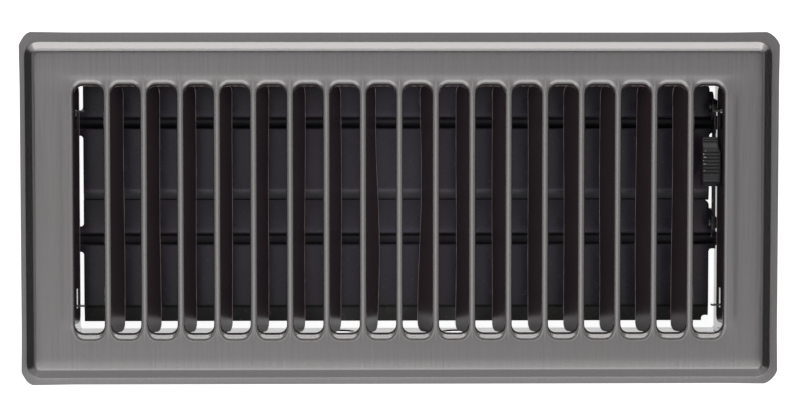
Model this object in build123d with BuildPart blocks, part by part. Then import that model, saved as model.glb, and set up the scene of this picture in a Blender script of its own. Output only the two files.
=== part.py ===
from build123d import *
from math import atan2, cos, degrees, radians, sin, tan
import os

# Face plate: one stamped sheet, its lip resting on the floor at z = 0
face_length = 291.2
face_width = 135.2
face_corner_radius = 5.0
sheet = 0.8
face_top = 3.2
lip_width = 2.9
step_run = 3.3
step_base_radius = 5.6
step_crest_radius = 1.6
step_foot_radius = 1.2

# Slots of the face and the rolled edge around each of them
slot_count = 18
end_margin = 20.23
side_margin = 19.7
bar_width = 2.63
slot_corner_radius = 3.3
roll_radius = 1.25
roll_leg = 0.5

# Fins, lanced from the slots and leaning towards the middle of the face
fin_lean = 24.0
fin_length = 10.8
fin_end_gap = 1.3
fin_corner_radius = 3.0
fin_root_corner_radius = 1.0
fin_root_length = 1.4
fin_root_overlap = 0.8

# End flanges of the face, which the lock tabs of the box go through
flange_lean = 8.0
flange_length = 8.5
flange_end_gap = 3.6
window_before_tab = 6.6
window_past_tab = 1.1
window_start = 3.0
window_stop = 7.6

# Damper box: one folded strip under the field, inside a 4 x 10 in duct
box_sheet = 0.7
box_clearance = 0.05
box_bottom = -32.0
box_corner_radius = 1.6
tab_inset = 12.2
tab_reach = 5.0
tab_top = -1.4
tab_bottom = -4.8
tab_window_width = 5.5
side_hole_radius = 5.75
side_hole_spacing = 46.0
side_hole_height = -20.0
lap_width = 11.0
lap_bottom = -30.0
lap_top = 1.0

# Damper blades, each turning on its trough
blade_sheet = 0.7
pivot_z = -25.0
trough_radius = 2.7
trough_past_wall = 0.55
trough_lip_radius = 0.3
pivot_clearance = 0.05
short_side = 15.35
bend_side = 26.0
strip_length = 6.6
strip_drop = 12.0
blade_lap = 2.3
blade_wall_gap = 1.65
blade_left_gap = 2.15
blade_right_gap = 3.15
end_tab_gap = 0.45
left_tab_width = 10.0
right_tab_width = 8.0
tab_fillet_radius = 1.2
notch_length = 2.6
notch_depth = 2.1
notch_radius = 1.2
short_corner_radius = 2.4

# Crank ear of each blade, link strip and rivets
crank_radius = 10.6
crank_angle = 50.0
ear_round = 5.6
ear_base_near = 2.9
ear_base_far = 12.0
rivet_radius = 1.5
rivet_head_radius = 2.4
rivet_head_thick = 0.75
rivet_head_fillet = 0.3
rivet_clearance = 0.05
link_sheet = 0.8
link_gap = 0.3
link_half_height = 2.8

# Stem of the link, set in from the strip to the middle of the knob
stem_set_in = 3.7
stem_width = 8.0
stem_bend_low = -13.2
stem_bend_high = -9.4
stem_top = -0.4

# Thumb knob, ribbed across its travel
knob_width = 6.4
knob_length = 19.0
knob_offset = 1.6
knob_bottom = -4.4
knob_crown = 1.2
knob_saddle_from_heel = 3.5
knob_saddle_drop = 0.55
knob_toe_top = -1.9
knob_heel_top = -0.3
knob_edge_fillet = 0.7
knob_fit = 0.04
crown_before_saddle = 0.9
rib_pitch = 1.3
rib_radius = 0.42
rib_from_toe = 6.8
rib_sink = 0.08
heel_rib_radius = 0.24
heel_rib_places = (0.89, 0.93, 0.97)
heel_inset = 1.85

# Values that follow from the ones above
field_underside = face_top - sheet
roll_inner = roll_radius - sheet
roll_centre_z = face_top - roll_radius
step_rise = face_top - sheet
step_taper = degrees(atan2(step_run, step_rise))
step_shift = sheet / cos(radians(step_taper)) - sheet * tan(radians(step_taper))
step_foot_length = face_length - 2 * lip_width
step_foot_width = face_width - 2 * lip_width
hollow_length = step_foot_length - 2 * step_shift
hollow_width = step_foot_width - 2 * step_shift
hollow_radius = step_base_radius - step_shift
hollow_crest_radius = step_crest_radius - sheet
lip_under_radius = step_foot_radius + sheet
slot_pitch = (face_length - 2 * end_margin) / slot_count
slot_width = slot_pitch - bar_width
slot_length = face_width - 2 * side_margin
roll_opening_width = slot_width + 2 * roll_radius
roll_opening_length = slot_length + 2 * roll_radius
roll_opening_radius = slot_corner_radius + roll_radius
half_slot = slot_width / 2
half_slot_length = slot_length / 2
side_straight = half_slot_length - slot_corner_radius
end_straight = half_slot - slot_corner_radius
slots_per_side = slot_count // 2
slot_rows = [(index + 0.5) * slot_pitch for index in range(slots_per_side)]
fin_rows = slot_rows[:-1]
fin_span = slot_length - 2 * fin_end_gap
flange_span = slot_length - 2 * flange_end_gap
end_row = slot_rows[-1]
box_inner_x = end_row + half_slot + roll_radius + box_clearance
box_inner_y = half_slot_length + roll_radius + box_clearance
box_outer_x = box_inner_x + box_sheet
box_outer_y = box_inner_y + box_sheet
box_height = field_underside - box_bottom
tab_offset = box_inner_y - tab_inset
window_near = tab_offset - window_before_tab
window_far = tab_offset + window_past_tab
half_blade = blade_sheet / 2
trough_inner = trough_radius - blade_sheet
pivot_hole_radius = trough_radius + pivot_clearance
blade_left = blade_left_gap - box_inner_x
blade_right = box_inner_x - blade_right_gap
end_tab_reach = box_inner_x - end_tab_gap
trough_reach = box_outer_x + trough_past_wall
strip_end_y = -bend_side - strip_length * cos(radians(strip_drop))
strip_end_z = -strip_length * sin(radians(strip_drop))
strip_side_y = blade_sheet * sin(radians(strip_drop))
strip_side_z = blade_sheet * cos(radians(strip_drop))
upper_pivot_y = box_inner_y - blade_wall_gap - short_side
lower_pivot_y = upper_pivot_y + strip_end_y + blade_lap - short_side
crank_y = crank_radius * cos(radians(crank_angle))
crank_z = crank_radius * sin(radians(crank_angle))
ear_inner_x = blade_right - blade_sheet
link_near_x = blade_right + link_gap
link_far_x = link_near_x + link_sheet
link_middle_x = link_near_x + link_sheet / 2
stem_middle_x = link_middle_x - stem_set_in
upper_pin_y = upper_pivot_y + crank_y
lower_pin_y = lower_pivot_y + crank_y
pin_z = pivot_z + crank_z
knob_middle_y = (upper_pin_y + lower_pin_y) / 2 + knob_offset
knob_low_y = knob_middle_y - knob_length / 2
knob_high_y = knob_middle_y + knob_length / 2
knob_saddle_y = knob_high_y - knob_saddle_from_heel
rib_first_y = knob_low_y + rib_from_toe
crown_low_y = rib_first_y - rib_pitch
crown_high_y = knob_saddle_y - crown_before_saddle
rib_count = round((crown_high_y - crown_low_y) / rib_pitch) - 1
heel_y = knob_high_y - heel_inset
rivet_tail_x = ear_inner_x - rivet_clearance
rivet_head_x = link_far_x + rivet_clearance

os.makedirs("parts", exist_ok=True)

# Rolled edge of a slot hinged on its left: a section carried round the other three sides
with BuildLine() as roll_path:
    Line((-end_straight, side_straight + slot_corner_radius), (end_straight, half_slot_length))
    RadiusArc((end_straight, half_slot_length), (half_slot, side_straight), slot_corner_radius)
    Line((half_slot, side_straight), (half_slot, -side_straight))
    RadiusArc((half_slot, -side_straight), (end_straight, -half_slot_length), slot_corner_radius)
    Line((end_straight, -half_slot_length), (-end_straight, -half_slot_length))
    RadiusArc((-end_straight, -half_slot_length), (-half_slot, -side_straight), slot_corner_radius)

with BuildLine() as roll_corner_path:
    RadiusArc((-half_slot, side_straight), (-end_straight, half_slot_length), slot_corner_radius)

long_roll_plane = Plane(origin=(-end_straight, half_slot_length, face_top), x_dir=(0, 1, 0), z_dir=(1, 0, 0))
corner_roll_plane = Plane(origin=(-half_slot, side_straight, face_top), x_dir=(-1, 0, 0), z_dir=(0, 1, 0))

with BuildSketch(long_roll_plane) as long_roll_section:
    with BuildLine():
        Line((roll_radius, 0), (roll_radius, -sheet))
        RadiusArc((roll_radius, -sheet), (sheet, -roll_radius), -roll_inner)
        Line((sheet, -roll_radius), (sheet, -roll_radius - roll_leg))
        Line((sheet, -roll_radius - roll_leg), (0, -roll_radius - roll_leg))
        Line((0, -roll_radius - roll_leg), (0, -roll_radius))
        RadiusArc((0, -roll_radius), (roll_radius, 0), roll_radius)
    make_face()

with BuildSketch(corner_roll_plane) as corner_roll_section:
    with BuildLine():
        Line((roll_radius, 0), (roll_radius, -sheet))
        RadiusArc((roll_radius, -sheet), (sheet, -roll_radius), -roll_inner)
        Line((sheet, -roll_radius), (sheet, -roll_radius - roll_leg))
        Line((sheet, -roll_radius - roll_leg), (0, -roll_radius - roll_leg))
        Line((0, -roll_radius - roll_leg), (0, -roll_radius))
        RadiusArc((0, -roll_radius), (roll_radius, 0), roll_radius)
    make_face()

with BuildPart() as slot_roll:
    sweep(sections=long_roll_section.sketch, path=Pos(0, 0, face_top) * roll_path.wires()[0])
    sweep(sections=corner_roll_section.sketch, path=Pos(0, 0, face_top) * roll_corner_path.wires()[0])

# Fin of a slot hinged on its left: bent root, then a tongue with rounded free corners
fin_down = (sin(radians(fin_lean)), -cos(radians(fin_lean)))
fin_out = (cos(radians(fin_lean)), sin(radians(fin_lean)))
roll_centre_x = -half_slot - roll_radius
fin_outer = (roll_centre_x + roll_radius * fin_out[0], roll_centre_z + roll_radius * fin_out[1])
fin_inner = (roll_centre_x + roll_inner * fin_out[0], roll_centre_z + roll_inner * fin_out[1])
fin_outer_end = (fin_outer[0] + fin_root_length * fin_down[0], fin_outer[1] + fin_root_length * fin_down[1])
fin_inner_end = (fin_inner[0] + fin_root_length * fin_down[0], fin_inner[1] + fin_root_length * fin_down[1])
fin_plane = Plane(
    origin=(fin_inner[0], 0, fin_inner[1]), x_dir=(fin_down[0], 0, fin_down[1]), z_dir=(fin_out[0], 0, fin_out[1])
)
fin_blade_length = fin_length - fin_root_overlap
fin_blade_middle = fin_root_overlap + fin_blade_length / 2

with BuildPart() as fin:
    with BuildSketch(Plane.XZ):
        with BuildLine():
            Line((roll_centre_x, face_top), (roll_centre_x, field_underside))
            RadiusArc((roll_centre_x, field_underside), fin_inner, roll_inner)
            Line(fin_inner, fin_inner_end)
            Line(fin_inner_end, fin_outer_end)
            Line(fin_outer_end, fin_outer)
            RadiusArc(fin_outer, (roll_centre_x, face_top), -roll_radius)
        make_face()
    extrude(amount=side_straight, both=True)
    with BuildSketch(fin_plane):
        with Locations((fin_blade_middle, 0)):
            tongue = Rectangle(fin_blade_length, fin_span)
        fillet(tongue.vertices().group_by(Axis.X)[0], fin_root_corner_radius)
        fillet(tongue.vertices().group_by(Axis.X)[-1], fin_corner_radius)
    extrude(amount=sheet)

# End flange of the outermost slot on the left, with its two windows
flange_down = (sin(radians(flange_lean)), -cos(radians(flange_lean)))
flange_out = (cos(radians(flange_lean)), sin(radians(flange_lean)))
flange_outer = (roll_centre_x + roll_radius * flange_out[0], roll_centre_z + roll_radius * flange_out[1])
flange_inner = (roll_centre_x + roll_inner * flange_out[0], roll_centre_z + roll_inner * flange_out[1])
flange_outer_end = (
    flange_outer[0] + fin_root_length * flange_down[0],
    flange_outer[1] + fin_root_length * flange_down[1],
)
flange_inner_end = (
    flange_inner[0] + fin_root_length * flange_down[0],
    flange_inner[1] + fin_root_length * flange_down[1],
)
flange_plane = Plane(
    origin=(flange_inner[0], 0, flange_inner[1]),
    x_dir=(flange_down[0], 0, flange_down[1]),
    z_dir=(flange_out[0], 0, flange_out[1]),
)
flange_blade_length = flange_length - fin_root_overlap
flange_blade_middle = fin_root_overlap + flange_blade_length / 2
window_middle = (window_start + window_stop) / 2
window_middle_y = (window_near + window_far) / 2

with BuildPart() as flange:
    with BuildSketch(Plane.XZ):
        with BuildLine():
            Line((roll_centre_x, face_top), (roll_centre_x, field_underside))
            RadiusArc((roll_centre_x, field_underside), flange_inner, roll_inner)
            Line(flange_inner, flange_inner_end)
            Line(flange_inner_end, flange_outer_end)
            Line(flange_outer_end, flange_outer)
            RadiusArc(flange_outer, (roll_centre_x, face_top), -roll_radius)
        make_face()
    extrude(amount=side_straight, both=True)
    with BuildSketch(flange_plane):
        with Locations((flange_blade_middle, 0)):
            plate = Rectangle(flange_blade_length, flange_span)
        fillet(plate.vertices().group_by(Axis.X)[0], fin_root_corner_radius)
        fillet(plate.vertices().group_by(Axis.X)[-1], fin_corner_radius)
        with Locations((window_middle, window_middle_y), (window_middle, -window_middle_y)):
            Rectangle(window_stop - window_start, window_far - window_near, mode=Mode.SUBTRACT)
    extrude(amount=sheet)

# The same three for the right half of the face
slot_roll_right = mirror(slot_roll.part, about=Plane.YZ)
fin_right = mirror(fin.part, about=Plane.YZ)
flange_right = mirror(flange.part, about=Plane.YZ)

# Hollow under the face, one sheet inside the step
with BuildPart() as hollow:
    with BuildSketch():
        RectangleRounded(
            hollow_length + 2 * sheet * tan(radians(step_taper)),
            hollow_width + 2 * sheet * tan(radians(step_taper)),
            hollow_radius + sheet * tan(radians(step_taper)),
        )
    extrude(amount=field_underside, taper=step_taper)
    fillet(hollow.faces().sort_by(Axis.Z)[-1].edges(), hollow_crest_radius)

with BuildPart() as face_plate:
    with BuildSketch():
        RectangleRounded(face_length, face_width, face_corner_radius)
    extrude(amount=sheet)
    with BuildSketch(Plane.XY.offset(sheet)):
        RectangleRounded(step_foot_length, step_foot_width, step_base_radius)
    extrude(amount=step_rise, taper=step_taper)
    fillet(face_plate.faces().sort_by(Axis.Z)[-1].edges(), step_crest_radius)
    lip_top = face_plate.faces().filter_by(Axis.Z).sort_by(Axis.Z)[1]
    fillet(lip_top.inner_wires()[0].edges(), step_foot_radius)
    add(hollow.part, mode=Mode.SUBTRACT)
    lip_underside = face_plate.faces().sort_by(Axis.Z)[0]
    fillet(lip_underside.inner_wires()[0].edges(), lip_under_radius)
    with BuildSketch(Plane.XY.offset(field_underside)):
        with Locations([(row * side, 0) for row in slot_rows for side in (-1, 1)]):
            RectangleRounded(roll_opening_width, roll_opening_length, roll_opening_radius)
    extrude(amount=sheet, mode=Mode.SUBTRACT)
    with Locations([(-row, 0, 0) for row in slot_rows]):
        add(slot_roll.part)
    with Locations([(row, 0, 0) for row in slot_rows]):
        add(slot_roll_right)
    with Locations([(-row, 0, 0) for row in fin_rows]):
        add(fin.part)
    with Locations([(row, 0, 0) for row in fin_rows]):
        add(fin_right)
    with Locations((-end_row, 0, 0)):
        add(flange.part)
    with Locations((end_row, 0, 0)):
        add(flange_right)

# Damper box: wall strip, pivot holes, side holes, lock tabs and the corner lap
with BuildPart() as damper_box:
    with BuildSketch(Plane.XY.offset(box_bottom)):
        RectangleRounded(2 * box_outer_x, 2 * box_outer_y, box_corner_radius)
        RectangleRounded(
            2 * box_inner_x, 2 * box_inner_y, box_corner_radius - box_sheet, mode=Mode.SUBTRACT
        )
    extrude(amount=box_height)
    with BuildSketch(Plane.YZ):
        with Locations((upper_pivot_y, pivot_z), (lower_pivot_y, pivot_z)):
            Circle(pivot_hole_radius)
    extrude(amount=box_outer_x, both=True, mode=Mode.SUBTRACT)
    with BuildSketch(Plane.XZ):
        with Locations((-side_hole_spacing / 2, side_hole_height), (side_hole_spacing / 2, side_hole_height)):
            Circle(side_hole_radius)
    extrude(amount=box_outer_y, both=True, mode=Mode.SUBTRACT)
    with BuildSketch(Plane.YZ):
        with Locations(
            (tab_offset - tab_window_width / 2, (tab_top + tab_bottom) / 2),
            (-tab_offset + tab_window_width / 2, (tab_top + tab_bottom) / 2),
        ):
            Rectangle(tab_window_width, tab_top - tab_bottom)
    extrude(amount=box_outer_x, both=True, mode=Mode.SUBTRACT)
    with Locations(
        [
            (side * (box_outer_x - (tab_reach + box_sheet) / 2), end * (tab_offset + box_sheet / 2), tab_bottom)
            for side in (-1, 1)
            for end in (-1, 1)
        ]
    ):
        Box(
            tab_reach + box_sheet,
            box_sheet,
            tab_top - tab_bottom,
            align=(Align.CENTER, Align.CENTER, Align.MIN),
        )
    with Locations((-box_outer_x, box_outer_y - box_corner_radius, lap_bottom)):
        Box(box_sheet, lap_width, lap_top - lap_bottom, align=(Align.MAX, Align.MAX, Align.MIN))

# Damper blade about its own pivot at y = 0, z = 0
with BuildPart() as blade:
    with BuildSketch(Plane.XY.offset(-half_blade)) as outline:
        with BuildLine():
            Polyline(
                (blade_left, -bend_side),
                (blade_left, -left_tab_width / 2),
                (-end_tab_reach, -left_tab_width / 2),
                (-end_tab_reach, left_tab_width / 2),
                (blade_left, left_tab_width / 2),
                (blade_left, short_side),
                (blade_right, short_side),
                (blade_right, right_tab_width / 2),
                (end_tab_reach, right_tab_width / 2),
                (end_tab_reach, -right_tab_width / 2),
                (blade_right, -right_tab_width / 2),
                (blade_right, -bend_side),
                close=True,
            )
        make_face()
        fillet(outline.vertices().sort_by_distance((blade_left, left_tab_width / 2))[0], tab_fillet_radius)
        fillet(outline.vertices().sort_by_distance((blade_left, -left_tab_width / 2))[0], tab_fillet_radius)
        fillet(outline.vertices().sort_by_distance((blade_right, -right_tab_width / 2))[0], tab_fillet_radius)
        fillet(outline.vertices().sort_by_distance((blade_right, short_side))[0], short_corner_radius)
    extrude(amount=blade_sheet)
    with BuildSketch(Plane.YZ.offset(blade_left)):
        with BuildLine():
            Polyline(
                (-bend_side, half_blade),
                (strip_end_y, strip_end_z + half_blade),
                (strip_end_y + strip_side_y, strip_end_z + half_blade - strip_side_z),
                (-bend_side + strip_side_y, half_blade - strip_side_z),
                (-bend_side + half_blade, half_blade - strip_side_z),
                (-bend_side + half_blade, half_blade),
                close=True,
            )
        make_face()
    extrude(amount=blade_right - blade_left)
    with BuildSketch(Plane.XY.offset(strip_end_z - blade_sheet)) as notch:
        with Locations((blade_right, strip_end_y)):
            corner = Rectangle(2 * notch_length, 2 * notch_depth)
        fillet(corner.vertices(), notch_radius)
    extrude(amount=-strip_end_z + 2 * blade_sheet, mode=Mode.SUBTRACT)
    with BuildSketch(Plane.YZ):
        Circle(trough_inner)
        with Locations((0, trough_inner)):
            Rectangle(2 * trough_inner, 2 * trough_inner)
    extrude(amount=trough_reach, both=True, mode=Mode.SUBTRACT)
    trough_edges = blade.edges().filter_by(Axis.X).filter_by_position(Axis.Z, 0, blade_sheet)
    fillet(trough_edges.filter_by_position(Axis.Y, -trough_radius, trough_radius), trough_lip_radius)
    with BuildSketch(Plane.YZ):
        Circle(trough_radius)
        Circle(trough_inner, mode=Mode.SUBTRACT)
        with Locations((0, trough_radius)):
            Rectangle(2 * trough_radius, 2 * trough_radius, mode=Mode.SUBTRACT)
    extrude(amount=trough_reach, both=True)
    with BuildSketch(Plane.YZ.offset(ear_inner_x)):
        with BuildLine():
            Polyline(
                (ear_base_near, -half_blade),
                (ear_base_far, -half_blade),
                (crank_y + ear_round, crank_z),
                (crank_y - ear_round, crank_z),
                close=True,
            )
        make_face()
        with Locations((crank_y, crank_z)):
            Circle(ear_round)
            Circle(rivet_radius + rivet_clearance, mode=Mode.SUBTRACT)
    extrude(amount=blade_sheet)

with BuildPart() as upper_blade:
    with Locations((0, upper_pivot_y, pivot_z)):
        add(blade.part)

with BuildPart() as lower_blade:
    with Locations((0, lower_pivot_y, pivot_z)):
        add(blade.part)

# Link strip with its set-in stem
with BuildPart() as damper_link:
    with BuildSketch(Plane.YZ.offset(link_near_x)):
        with Locations(((upper_pin_y + lower_pin_y) / 2, pin_z)):
            Rectangle(upper_pin_y - lower_pin_y, 2 * link_half_height)
        with Locations((upper_pin_y, pin_z), (lower_pin_y, pin_z)):
            Circle(link_half_height)
    extrude(amount=link_sheet)
    with BuildSketch(Plane.XZ.offset(-knob_middle_y)):
        with BuildLine():
            stem_line = Polyline(
                (link_middle_x, pin_z + link_sheet / 2),
                (link_middle_x, stem_bend_low),
                (stem_middle_x, stem_bend_high),
                (stem_middle_x, stem_top - link_sheet / 2),
            )
            offset(stem_line, link_sheet / 2, kind=Kind.INTERSECTION)
        make_face()
    extrude(amount=stem_width / 2, both=True)
    with BuildSketch(Plane.YZ.offset(link_near_x)):
        with Locations((upper_pin_y, pin_z), (lower_pin_y, pin_z)):
            Circle(rivet_radius + rivet_clearance)
    extrude(amount=link_sheet, mode=Mode.SUBTRACT)

# Rivets: shank through ear and link, a head on each side
with BuildPart() as rivet:
    with BuildSketch(Plane.YZ.offset(rivet_tail_x)):
        Circle(rivet_radius)
    extrude(amount=rivet_head_x - rivet_tail_x)
    with BuildSketch(Plane.YZ.offset(rivet_tail_x - rivet_head_thick)):
        Circle(rivet_head_radius)
    extrude(amount=rivet_head_thick)
    with BuildSketch(Plane.YZ.offset(rivet_head_x)):
        Circle(rivet_head_radius)
    extrude(amount=rivet_head_thick)
    fillet(rivet.faces().sort_by(Axis.X)[0].edges(), rivet_head_fillet)
    fillet(rivet.faces().sort_by(Axis.X)[-1].edges(), rivet_head_fillet)

with BuildPart() as upper_link_rivet:
    with Locations((0, upper_pin_y, pin_z)):
        add(rivet.part)

with BuildPart() as lower_link_rivet:
    with Locations((0, lower_pin_y, pin_z)):
        add(rivet.part)

# Thumb knob: side form carried across its width, ribs on the crown, pocket for the stem
with BuildPart() as thumb_knob:
    with BuildSketch(Plane.YZ.offset(stem_middle_x - knob_width / 2)):
        with BuildLine():
            Line((knob_low_y, knob_bottom), (knob_low_y, knob_toe_top))
            crown_line = Spline(
                (knob_low_y, knob_toe_top),
                (crown_low_y, knob_crown),
                (crown_high_y, knob_crown),
                (knob_saddle_y, knob_crown - knob_saddle_drop),
                (heel_y, knob_crown - knob_saddle_drop / 2),
                (knob_high_y, knob_heel_top),
            )
            Line((knob_high_y, knob_heel_top), (knob_high_y, knob_bottom))
            Line((knob_high_y, knob_bottom), (knob_low_y, knob_bottom))
        make_face()
    extrude(amount=knob_width)
    fillet(thumb_knob.edges().filter_by(GeomType.BSPLINE), knob_edge_fillet)
    with BuildSketch(Plane.YZ.offset(stem_middle_x - knob_width / 2 + knob_edge_fillet)):
        with Locations(
            [(rib_first_y + index * rib_pitch, knob_crown - rib_sink) for index in range(rib_count)]
        ):
            Circle(rib_radius)
        with Locations([crown_line @ place for place in heel_rib_places]):
            Circle(heel_rib_radius)
    extrude(amount=knob_width - 2 * knob_edge_fillet)
    with BuildSketch(Plane.XY.offset(knob_bottom)):
        with Locations((stem_middle_x, knob_middle_y)):
            Rectangle(link_sheet + 2 * knob_fit, stem_width + 2 * knob_fit)
    extrude(amount=stem_top - knob_bottom, mode=Mode.SUBTRACT)

face_plate.part.label = "face_plate"
damper_box.part.label = "damper_box"
upper_blade.part.label = "upper_blade"
lower_blade.part.label = "lower_blade"
damper_link.part.label = "damper_link"
thumb_knob.part.label = "thumb_knob"
upper_link_rivet.part.label = "upper_link_rivet"
lower_link_rivet.part.label = "lower_link_rivet"

export_step(face_plate.part, "parts/face_plate.step")
export_step(damper_box.part, "parts/damper_box.step")
export_step(upper_blade.part, "parts/upper_blade.step")
export_step(lower_blade.part, "parts/lower_blade.step")
export_step(damper_link.part, "parts/damper_link.step")
export_step(thumb_knob.part, "parts/thumb_knob.step")
export_step(upper_link_rivet.part, "parts/upper_link_rivet.step")
export_step(lower_link_rivet.part, "parts/lower_link_rivet.step")
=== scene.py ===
"""Floor register: the looks of its stamped face, fins, damper box, blades, link and thumb knob.

Lengths are worked out in millimetres in the part's own frame and put into the meshes in metres.
"""

import logging
from dataclasses import dataclass, field, replace
from enum import Enum
from typing import Any, Sequence

import bmesh
import bpy
import numpy as np
from mathutils import Matrix, Vector

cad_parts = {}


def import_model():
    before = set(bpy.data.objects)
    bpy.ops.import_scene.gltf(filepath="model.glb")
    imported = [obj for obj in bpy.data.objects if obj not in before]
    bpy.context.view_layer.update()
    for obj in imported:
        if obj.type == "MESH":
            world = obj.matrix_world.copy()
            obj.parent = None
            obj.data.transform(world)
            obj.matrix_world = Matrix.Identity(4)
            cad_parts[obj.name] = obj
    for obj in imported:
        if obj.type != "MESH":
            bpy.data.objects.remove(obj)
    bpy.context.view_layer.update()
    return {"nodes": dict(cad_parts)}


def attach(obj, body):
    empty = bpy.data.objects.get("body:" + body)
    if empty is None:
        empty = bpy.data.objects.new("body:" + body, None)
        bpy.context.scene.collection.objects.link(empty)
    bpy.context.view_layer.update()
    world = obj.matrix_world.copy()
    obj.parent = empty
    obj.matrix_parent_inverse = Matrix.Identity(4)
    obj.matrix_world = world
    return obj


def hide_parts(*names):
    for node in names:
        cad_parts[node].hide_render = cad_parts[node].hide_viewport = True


log = logging.getLogger("floor_register")

MM = 0.001
WELD = 0.002
SHARP_ANGLE = 50.0
# The finish layer: 0 is dark paint, PLAIN_FINISH plain plating, values above it a painted highlight; on the
# knob it marks chips.
FINISH_AND_HIGHLIGHT_LAYER = "finish"
PLAIN_FINISH = 0.8
MIDDLE = (0.3, 0.7)

Array = np.ndarray
Colour = tuple[float, float, float, float]
Pair = tuple[float, float]
Triple = tuple[float, float, float]
Socket = bpy.types.NodeSocket


class Side(Enum):
    """The half of the face that a slot is in, as the sign of its X."""

    LEFT = -1
    RIGHT = 1


class Body(Enum):
    """The moving bodies that carry the pieces made here."""

    FRAME = "register_frame"
    LINK = "thumb_link"


# Surfaces


@dataclass
class Surface:
    """Points and faces of one surface, with a finish value from 0 to 1 at each point.

    Attributes:
        points: Places in millimetres, one row of three for each point.
        quads: Four point numbers for each face, anticlockwise seen from outside.
        finish: Share of the face finish at each point; on the face, values above plain plating are a painted
            highlight.
    """

    points: Array
    quads: Array
    finish: Array


def smooth(value: Array | float, start: Array | float, stop: Array | float) -> Array:
    """Smooth step: 0 at start, 1 at stop, and 3t² - 2t³ between them.

    Args:
        value: Numbers to be graded.
        start: Where the step is 0.
        stop: Where the step is 1.

    Returns:
        The graded numbers, from 0 to 1.
    """
    t = np.clip((value - start) / (stop - start), 0.0, 1.0)
    return t * t * (3.0 - 2.0 * t)


def plating(shine: Array | float) -> Array | float:
    """Finish value of plating with a painted highlight of that share."""
    return PLAIN_FINISH + (1.0 - PLAIN_FINISH) * shine


def grid_quads(rows: int, columns: int, closed: bool = False, flip: bool = False) -> Array:
    """Quads of a grid of rows by columns points, numbered row by row.

    Args:
        rows: Number of rows.
        columns: Number of points in each row.
        closed: Whether each row's last point joins its first.
        flip: Whether the faces turn the other way.

    Returns:
        One row of four point numbers for each face.
    """
    number = np.arange(rows * columns).reshape(rows, columns)
    if closed:
        number = np.hstack([number, number[:, :1]])
    corners = [number[:-1, :-1], number[:-1, 1:], number[1:, 1:], number[1:, :-1]]
    if flip:
        corners.reverse()
    return np.stack(corners, axis=-1).reshape(-1, 4)


def grid_surface(
    points: Array, finish: Array | float, closed: bool = False, flip: bool = False
) -> Surface:
    """Surface through a grid of points.

    Args:
        points: Places on the grid, rows by columns by 3.
        finish: Finish value on the grid, rows by columns, or one for all of it.
        closed: Whether each row's last point joins its first.
        flip: Whether the faces turn the other way.

    Returns:
        The surface.
    """
    rows, columns = points.shape[:2]
    values = np.broadcast_to(finish, (rows, columns)).reshape(-1)
    return Surface(points.reshape(-1, 3), grid_quads(rows, columns, closed, flip), values)


def join(surfaces: Sequence[Surface]) -> Surface:
    """One surface out of several, their faces renumbered in order.

    Args:
        surfaces: The surfaces.

    Returns:
        The joined surface, its points not yet welded.
    """
    starts = np.cumsum([0] + [len(s.points) for s in surfaces[:-1]])
    return Surface(
        np.concatenate([s.points for s in surfaces]),
        np.concatenate([s.quads + start for s, start in zip(surfaces, starts)]),
        np.concatenate([s.finish for s in surfaces]),
    )


def rounded_loop(
    half: Pair, radius: float, x_shares: Array, y_shares: Array, corner: int, cut: float = 0.0
) -> tuple[Array, Array]:
    """Outline of a rounded rectangle, anticlockwise from the low end of its +X side.

    Each side runs through its shares, from -1 to 1 of its straight length, and each corner is a
    quarter circle in equal steps of angle, drawn towards its chord by the share of the cut.

    Args:
        half: Half the length along X and along Y.
        radius: Corner radius.
        x_shares: Places along the sides that run in X.
        y_shares: Places along the sides that run in Y.
        corner: Steps in each corner.
        cut: How far each corner is flattened, from 0, round, to 1, straight.

    Returns:
        The outline's points and its outward normals, both n by 2.
    """
    half_x, half_y = half
    run_x, run_y = half_x - radius, half_y - radius
    share = np.arange(corner) / corner
    step = share * np.pi / 2
    points, normals = [], []
    for quarter, (sign_x, sign_y) in enumerate([(1, 1), (-1, 1), (-1, -1), (1, -1)]):
        turn = quarter * np.pi / 2
        if quarter % 2 == 0:
            along = sign_y * y_shares[:-1] * run_y
            flat = np.column_stack([np.full_like(along, sign_x * half_x), along])
        else:
            along = sign_x * x_shares[:-1] * run_x
            flat = np.column_stack([along, np.full_like(along, sign_y * half_y)])
        flat_normals = np.broadcast_to([np.cos(turn), np.sin(turn)], flat.shape)
        arc_normals = np.stack([np.cos(turn + step), np.sin(turn + step)], axis=-1)
        first, last = np.array([[np.cos(turn), np.sin(turn)], [-np.sin(turn), np.cos(turn)]])
        chord = first + share[:, None] * (last - first)
        bend = (1.0 - cut) * arc_normals + cut * chord
        arc = np.array([sign_x * run_x, sign_y * run_y]) + radius * bend
        points += [flat, arc]
        normals += [flat_normals, arc_normals]
    return np.concatenate(points), np.concatenate(normals)


def ruled(inner: Array, outer: Array, shares: Array) -> Array:
    """Grid of points on the straight lines from one outline to another.

    Args:
        inner: Points of the first outline, n by 2.
        outer: Points of the second outline, n by 2.
        shares: Places along the lines, from 0 to 1.

    Returns:
        Points, one row for each share.
    """
    return inner[None] + shares[:, None, None] * (outer - inner)[None]


def bead(path: Array, radius: Array, across: Array, around: int = 8) -> Surface:
    """Thin round bead along a path: each point lies the radius off the path, turned about its heading.

    Args:
        path: Points of the path, n by 3.
        radius: Radius at each of them.
        across: A direction that the path never follows.
        around: Points in each ring.

    Returns:
        The bead's surface.
    """
    ahead = np.gradient(path, axis=0)
    ahead /= np.linalg.norm(ahead, axis=1, keepdims=True)
    side = np.cross(ahead, across)
    side /= np.linalg.norm(side, axis=1, keepdims=True)
    out = np.cross(side, ahead)
    turn = np.linspace(0.0, 2.0 * np.pi, around, endpoint=False)[None, :, None]
    ring = np.cos(turn) * out[:, None] + np.sin(turn) * side[:, None]
    return grid_surface(path[:, None] + radius[:, None, None] * ring, 0.0, closed=True)


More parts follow.
